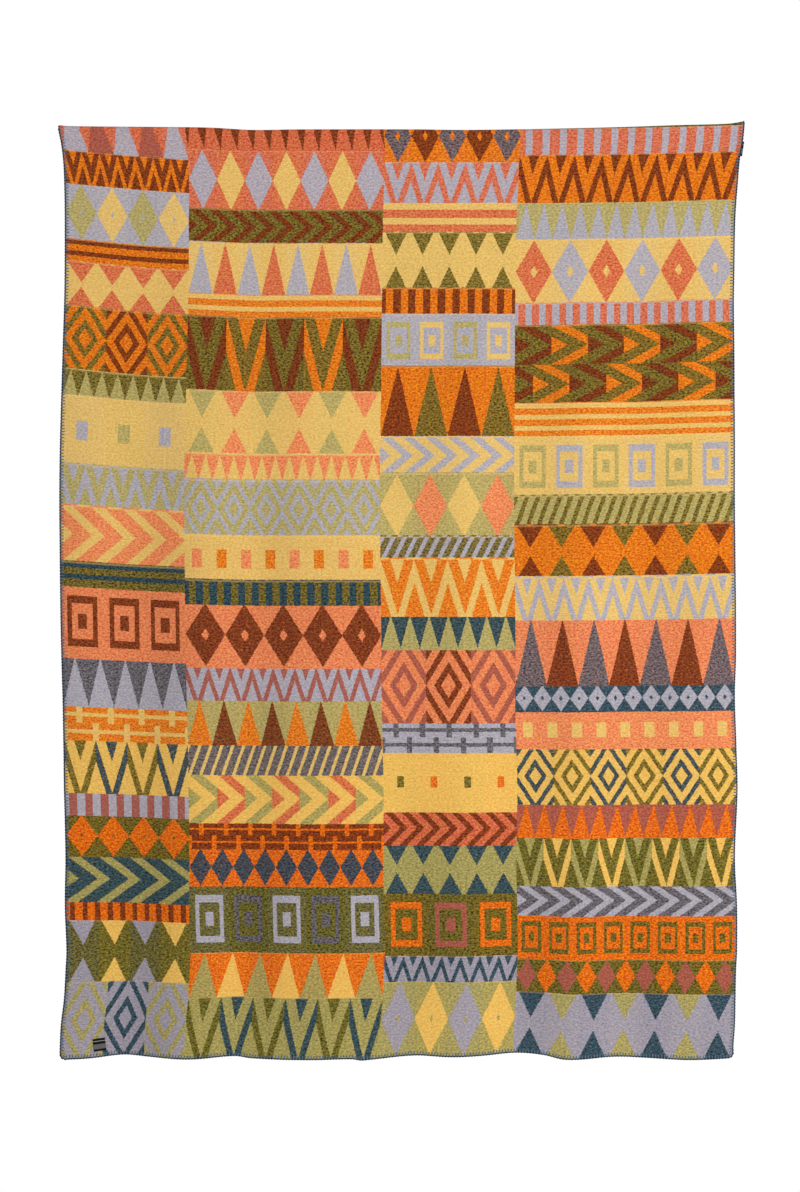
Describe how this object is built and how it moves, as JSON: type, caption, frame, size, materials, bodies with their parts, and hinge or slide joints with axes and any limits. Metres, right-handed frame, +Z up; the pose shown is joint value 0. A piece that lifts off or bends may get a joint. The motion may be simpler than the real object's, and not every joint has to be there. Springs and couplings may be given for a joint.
{
  "type": "wool blanket",
  "caption": "Felted wool blanket hung flat by its rolled-back top edge, with soft folds, a waved hem and small sewn labels.",
  "frame": {"origin": "middle of the top edge, on the crest of the roll over which the cloth turns back", "axes": "+Z up, along the length of the hanging cloth; -Y the front, which the viewer sees; +X to the viewer's right"},
  "size_m": [1.3009, 0.0296, 1.7804],
  "materials": {
    "wool": "brushed and felted double-faced wool in many colours",
    "label": "black woven satin tape"
  },
  "bodies": {
    "root": {"blanket": "wool", "front_label": "label", "edge_label": "label"}
  },
  "joints": []
}
